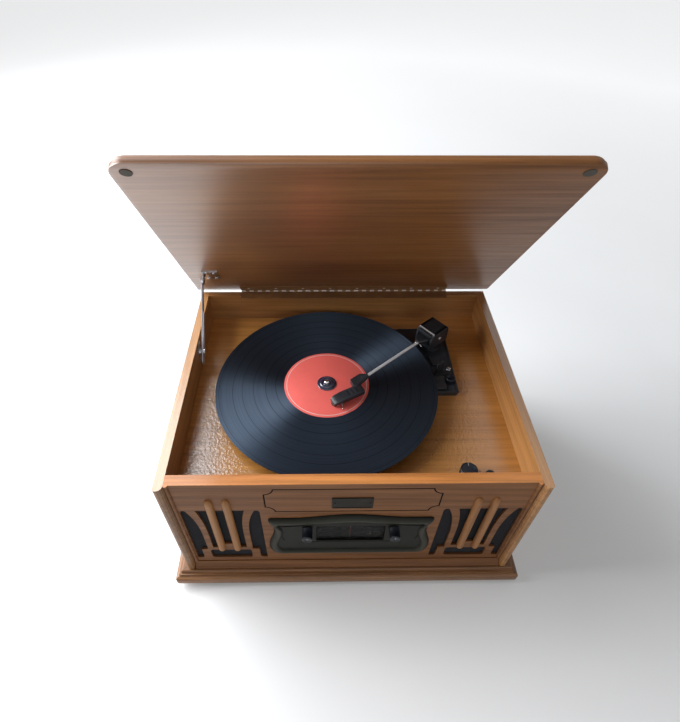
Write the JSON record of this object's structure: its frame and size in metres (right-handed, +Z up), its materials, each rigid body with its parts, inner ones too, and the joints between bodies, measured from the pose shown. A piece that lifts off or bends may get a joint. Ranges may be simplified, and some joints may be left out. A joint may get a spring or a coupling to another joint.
{
  "type": "stereo music centre",
  "caption": "Wooden tabletop music centre with a hinged lid, a belt-driven record deck and tonearm, a radio dial with knobs, and fretted loudspeaker grilles.",
  "frame": {"origin": "on the floor under the middle of the cabinet, at the bottom of the rubber feet", "axes": "+X to the listener's right along the front, +Y to the back, +Z up; the radio dial faces -Y"},
  "size_m": [0.476, 0.374, 0.5409],
  "materials": {
    "oak": "satin",
    "dark_wood": "matte",
    "black_plastic": "matte",
    "rubber": "matte",
    "cloth": "matte",
    "steel": "satin",
    "zinc": "satin",
    "bronze": "satin",
    "plate_metal": "satin",
    "brass": "satin",
    "aluminium": "satin",
    "platter_metal": "satin",
    "vinyl": "gloss",
    "label_paper": "satin",
    "cap_plastic": "gloss",
    "cone_paper": "matte",
    "scale_print": "matte",
    "window": "gloss",
    "led": "gloss",
    "circuit_board": "satin",
    "nylon": "satin",
    "pointer_red": "satin",
    "grey_plastic": "satin",
    "hardboard": "matte",
    "ivory_plastic": "satin",
    "copper_coil": "satin"
  },
  "bodies": {
    "cabinet": {"plinth": "oak", "rubber_feet": "rubber", "bottom_board": "dark_wood", "side_panel_left": "oak", "side_panel_right": "oak", "front_panel": "oak", "base_moulding": "oak", "back_rail": "oak", "rear_panel": "hardboard", "wood_screws": "steel", "inner_cleats": "dark_wood", "deck_board": "oak", "speaker_baffles": "dark_wood", "grille_cloths": "cloth", "grille_spindles": "oak", "speaker_frames": "zinc", "speaker_cones": "cone_paper", "nameplate": "plate_metal", "tuner_bezel": "bronze", "dial_scale": "scale_print", "dial_window": "window", "stereo_led": "led", "tuner_board": "circuit_board", "function_switch": "zinc", "headphone_socket": "black_plastic", "mech_base": "black_plastic", "main_bearing": "brass", "turntable_motor": "zinc", "drive_belt": "rubber", "arm_pillar": "black_plastic", "arm_rest": "black_plastic", "stay_wall_plate": "steel", "hinge_leaf_cabinet": "steel", "main_board": "circuit_board", "transformer": "zinc", "mains_inlet": "black_plastic", "audio_sockets": "ivory_plastic"},
    "lid": {"lid": "oak", "lid_pads": "rubber", "hinge_leaf_lid": "steel", "stay_bracket": "steel"},
    "stay_arm": {"stay_arm": "steel"},
    "stay_slider": {"stay_slider": "steel"},
    "platter": {"platter": "platter_metal", "platter_mat": "rubber", "record": "vinyl", "record_label": "label_paper", "hub_cap": "cap_plastic"},
    "motor_pulley": {"motor_pulley": "brass"},
    "arm_yoke": {"arm_yoke": "black_plastic"},
    "tonearm": {"arm_tube": "aluminium", "headshell": "black_plastic", "cartridge": "ivory_plastic"},
    "volume_knob": {"volume_knob": "black_plastic"},
    "tuning_knob": {"tuning_knob": "black_plastic"},
    "tuning_drum": {"tuning_drum": "nylon"},
    "dial_pointer": {"dial_pointer": "pointer_red"},
    "deck_knob": {"deck_knob": "black_plastic"},
    "speed_knob": {"speed_knob": "black_plastic"},
    "stop_switch": {"stop_switch": "grey_plastic"}
  },
  "joints": [
    {"name": "lid_hinge", "type": "hinge", "parent": "cabinet", "child": "lid", "pos_m": [0, 0.1713, 0.24215], "axis": [1, 0, 0], "range_deg": [0, 56.1]},
    {"name": "stay_arm_pivot", "type": "hinge", "parent": "lid", "child": "stay_arm", "pos_m": [-0.20375, 0.12446, 0.29742], "axis": [1, 0, 0], "range_deg": [-90.04, 0.2]},
    {"name": "stay_slide", "type": "slide", "parent": "stay_arm", "child": "stay_slider", "axis": [0, -0.6872, -0.7264], "range_m": [-0.05593, 0.0003]},
    {"name": "platter_spin", "type": "hinge", "parent": "cabinet", "child": "platter", "pos_m": [-0.028, 0, 0.2], "axis": [0, 0, 1], "continuous": true},
    {"name": "pulley_spin", "type": "hinge", "parent": "cabinet", "child": "motor_pulley", "pos_m": [-0.08881, 0.06081, 0.195], "axis": [0, 0, 1], "continuous": true},
    {"name": "arm_swing", "type": "hinge", "parent": "cabinet", "child": "arm_yoke", "pos_m": [0.129, 0.0895, 0.215], "axis": [0, 0, 1], "range_deg": [-3, 52]},
    {"name": "arm_lift", "type": "hinge", "parent": "arm_yoke", "child": "tonearm", "pos_m": [0.129, 0.0895, 0.226], "axis": [-0.6374, 0.7705, 0], "range_deg": [0, 3.2]},
    {"name": "volume_turn", "type": "hinge", "parent": "cabinet", "child": "volume_knob", "pos_m": [-0.0535, -0.18, 0.141], "axis": [0, 1, 0], "range_deg": [-140, 140]},
    {"name": "tuning_drum_turn", "type": "hinge", "parent": "cabinet", "child": "tuning_drum", "pos_m": [0.012, -0.156, 0.117], "axis": [0, 1, 0], "range_deg": [-88, 88]},
    {"name": "tuning_turn", "type": "hinge", "parent": "cabinet", "child": "tuning_knob", "pos_m": [0.0535, -0.18, 0.141], "axis": [0, 1, 0], "range_deg": [-265, 265]},
    {"name": "pointer_slide", "type": "slide", "parent": "cabinet", "child": "dial_pointer", "axis": [1, 0, 0], "range_m": [-0.0416, 0.0416]},
    {"name": "function_turn", "type": "hinge", "parent": "cabinet", "child": "deck_knob", "pos_m": [0.141, -0.133, 0.205], "axis": [0, 0, 1], "range_deg": [-150, 150]},
    {"name": "speed_turn", "type": "hinge", "parent": "cabinet", "child": "speed_knob", "pos_m": [0.146, 0.0145, 0.206], "axis": [0, 0, 1], "range_deg": [-35, 35]},
    {"name": "stop_slide", "type": "slide", "parent": "cabinet", "child": "stop_switch", "axis": [0, 1, 0], "range_m": [-0.003, 0.003]}
  ],
  "couplings": [
    {"joint": "stay_arm_pivot", "follows": "lid_hinge", "ratio": -1.6015},
    {"joint": "stay_slide", "follows": "lid_hinge", "m_per_rad": -0.056821},
    {"joint": "pulley_spin", "follows": "platter_spin", "ratio": 12.8},
    {"joint": "tuning_turn", "follows": "tuning_drum_turn", "ratio": 3},
    {"joint": "pointer_slide", "follows": "tuning_drum_turn", "m_per_rad": 0.027}
  ]
}
